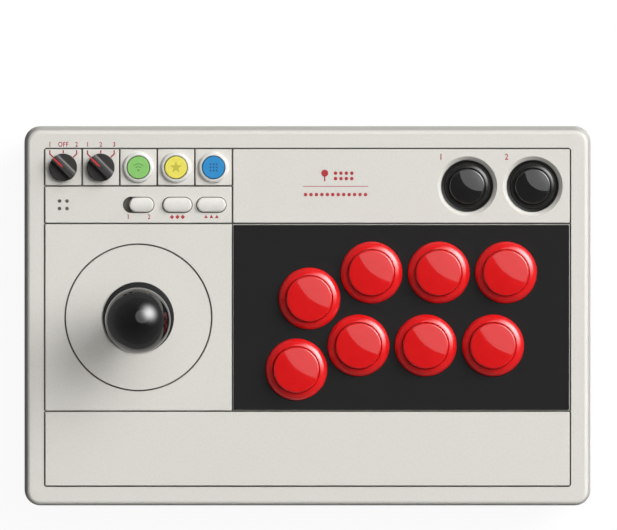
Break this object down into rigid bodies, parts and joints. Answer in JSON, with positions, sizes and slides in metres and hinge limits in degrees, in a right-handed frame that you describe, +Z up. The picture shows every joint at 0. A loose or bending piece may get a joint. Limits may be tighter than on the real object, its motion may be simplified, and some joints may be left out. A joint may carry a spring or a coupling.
{
  "type": "arcade stick",
  "caption": "Flat desktop arcade stick with a ball-top lever, large round push buttons on a black panel, small round keys, dials and a mode slider.",
  "frame": {"origin": "centre of the case's plan, on the plane that the rubber feet stand on", "axes": "+X to the player's right along the long side, +Y to the back, +Z up out of the panel"},
  "size_m": [0.3034, 0.2034, 0.1114],
  "materials": {
    "case_light": "fine moulded grain",
    "case_grey": "fine moulded grain",
    "foot_rubber": "matte",
    "fastener_steel": "zinc plated",
    "panel_black": "matte powder coat",
    "button_red": "polished",
    "button_black": "polished",
    "bezel_black": "satin",
    "ball_black": "polished",
    "sleeve_black": "satin",
    "washer_black": "satin",
    "ring_white": "satin",
    "cap_green": "satin",
    "cap_yellow": "satin",
    "cap_blue": "satin",
    "key_light": "satin",
    "dial_black": "fine moulded grain",
    "light_lens": "clear smoked",
    "board_green": "solder mask",
    "cell_wrap": "shrink wrap",
    "ballast_steel": "zinc plated",
    "port_steel": "nickel plated",
    "mechanism_black": "moulded",
    "shaft_steel": "turned and plated",
    "switch_black": "moulded"
  },
  "bodies": {
    "case": {"upper_case": "case_light", "lower_case": "case_grey", "rubber_feet": "foot_rubber", "case_screws": "fastener_steel", "button_panel": "panel_black", "panel_nuts": "fastener_steel", "status_lights": "light_lens", "control_board": "board_green", "main_board": "board_green", "board_screws": "fastener_steel", "charging_port": "port_steel", "battery_pack": "cell_wrap", "ballast_plate": "ballast_steel", "stick_plate": "ballast_steel", "stick_housing": "mechanism_black", "stick_switch_board": "board_green", "stick_gate": "mechanism_black", "stick_screws": "fastener_steel", "action_switches": "switch_black", "player_switches": "switch_black", "action_housing_upper_1": "button_red", "action_housing_upper_2": "button_red", "action_housing_upper_3": "button_red", "action_housing_upper_4": "button_red", "action_housing_lower_1": "button_red", "action_housing_lower_2": "button_red", "action_housing_lower_3": "button_red", "action_housing_lower_4": "button_red", "player_housing_one": "bezel_black", "player_housing_two": "bezel_black", "pairing_ring": "ring_white", "favourite_ring": "ring_white", "profile_ring": "ring_white"},
    "lever_pivot": {"pivot_rocker": "mechanism_black", "pivot_pin": "shaft_steel"},
    "lever": {"lever_shaft": "shaft_steel", "ball_top": "ball_black", "shaft_sleeve": "sleeve_black", "lever_spring": "shaft_steel", "lever_actuator": "mechanism_black", "lever_clip": "fastener_steel"},
    "dust_washer": {"dust_washer": "washer_black"},
    "action_upper_1": {"action_plunger_upper_1": "button_red"},
    "action_upper_2": {"action_plunger_upper_2": "button_red"},
    "action_upper_3": {"action_plunger_upper_3": "button_red"},
    "action_upper_4": {"action_plunger_upper_4": "button_red"},
    "action_lower_1": {"action_plunger_lower_1": "button_red"},
    "action_lower_2": {"action_plunger_lower_2": "button_red"},
    "action_lower_3": {"action_plunger_lower_3": "button_red"},
    "action_lower_4": {"action_plunger_lower_4": "button_red"},
    "player_one": {"player_plunger_one": "button_black"},
    "player_two": {"player_plunger_two": "button_black"},
    "pairing_button": {"pairing_cap": "cap_green"},
    "favourite_button": {"favourite_cap": "cap_yellow"},
    "profile_button": {"profile_cap": "cap_blue"},
    "select_button": {"select_key": "key_light"},
    "start_button": {"start_key": "key_light"},
    "mode_slider": {"mode_slider": "key_light"},
    "left_dial": {"left_dial": "dial_black"},
    "right_dial": {"right_dial": "dial_black"}
  },
  "joints": [
    {"name": "stick_tilt_x", "type": "hinge", "parent": "case", "child": "lever_pivot", "pos_m": [-0.09045, 0, 0.0344], "axis": [1, 0, 0], "range_deg": [-9, 9], "stiffness_Nm_per_rad": 0.9},
    {"name": "stick_tilt_y", "type": "hinge", "parent": "lever_pivot", "child": "lever", "pos_m": [-0.09045, 0, 0.0344], "axis": [0, 1, 0], "range_deg": [-9, 9], "stiffness_Nm_per_rad": 0.9},
    {"name": "dust_washer_slide", "type": "slide", "parent": "case", "child": "dust_washer", "axis": [0, 1, 0], "range_m": [-0.003, 0.003]},
    {"name": "press_action_upper_1", "type": "slide", "parent": "case", "child": "action_upper_1", "axis": [0, 0, -1], "range_m": [0, 0.0036], "stiffness_N_per_m": 150, "springref_m": -0.002},
    {"name": "press_action_upper_2", "type": "slide", "parent": "case", "child": "action_upper_2", "axis": [0, 0, -1], "range_m": [0, 0.0036], "stiffness_N_per_m": 150, "springref_m": -0.002},
    {"name": "press_action_upper_3", "type": "slide", "parent": "case", "child": "action_upper_3", "axis": [0, 0, -1], "range_m": [0, 0.0036], "stiffness_N_per_m": 150, "springref_m": -0.002},
    {"name": "press_action_upper_4", "type": "slide", "parent": "case", "child": "action_upper_4", "axis": [0, 0, -1], "range_m": [0, 0.0036], "stiffness_N_per_m": 150, "springref_m": -0.002},
    {"name": "press_action_lower_1", "type": "slide", "parent": "case", "child": "action_lower_1", "axis": [0, 0, -1], "range_m": [0, 0.0036], "stiffness_N_per_m": 150, "springref_m": -0.002},
    {"name": "press_action_lower_2", "type": "slide", "parent": "case", "child": "action_lower_2", "axis": [0, 0, -1], "range_m": [0, 0.0036], "stiffness_N_per_m": 150, "springref_m": -0.002},
    {"name": "press_action_lower_3", "type": "slide", "parent": "case", "child": "action_lower_3", "axis": [0, 0, -1], "range_m": [0, 0.0036], "stiffness_N_per_m": 150, "springref_m": -0.002},
    {"name": "press_action_lower_4", "type": "slide", "parent": "case", "child": "action_lower_4", "axis": [0, 0, -1], "range_m": [0, 0.0036], "stiffness_N_per_m": 150, "springref_m": -0.002},
    {"name": "press_player_one", "type": "slide", "parent": "case", "child": "player_one", "axis": [0, 0, -1], "range_m": [0, 0.003], "stiffness_N_per_m": 150, "springref_m": -0.002},
    {"name": "press_player_two", "type": "slide", "parent": "case", "child": "player_two", "axis": [0, 0, -1], "range_m": [0, 0.003], "stiffness_N_per_m": 150, "springref_m": -0.002},
    {"name": "press_pairing_button", "type": "slide", "parent": "case", "child": "pairing_button", "axis": [0, 0, -1], "range_m": [0, 0.0008], "stiffness_N_per_m": 600, "springref_m": -0.001},
    {"name": "press_favourite_button", "type": "slide", "parent": "case", "child": "favourite_button", "axis": [0, 0, -1], "range_m": [0, 0.0008], "stiffness_N_per_m": 600, "springref_m": -0.001},
    {"name": "press_profile_button", "type": "slide", "parent": "case", "child": "profile_button", "axis": [0, 0, -1], "range_m": [0, 0.0008], "stiffness_N_per_m": 600, "springref_m": -0.001},
    {"name": "press_select_button", "type": "slide", "parent": "case", "child": "select_button", "axis": [0, 0, -1], "range_m": [0, 0.0008], "stiffness_N_per_m": 600, "springref_m": -0.001},
    {"name": "press_start_button", "type": "slide", "parent": "case", "child": "start_button", "axis": [0, 0, -1], "range_m": [0, 0.0008], "stiffness_N_per_m": 600, "springref_m": -0.001},
    {"name": "slide_mode", "type": "slide", "parent": "case", "child": "mode_slider", "axis": [1, 0, 0], "range_m": [-0.003, 0]},
    {"name": "turn_left_dial", "type": "hinge", "parent": "case", "child": "left_dial", "pos_m": [-0.13065, 0.0804, 0.051], "axis": [0, 0, 1], "range_deg": [-90, 0]},
    {"name": "turn_right_dial", "type": "hinge", "parent": "case", "child": "right_dial", "pos_m": [-0.11055, 0.0804, 0.051], "axis": [0, 0, 1], "range_deg": [-90, 0]}
  ],
  "couplings": [
    {"joint": "dust_washer_slide", "follows": "stick_tilt_x", "m_per_rad": -0.0172}
  ]
}
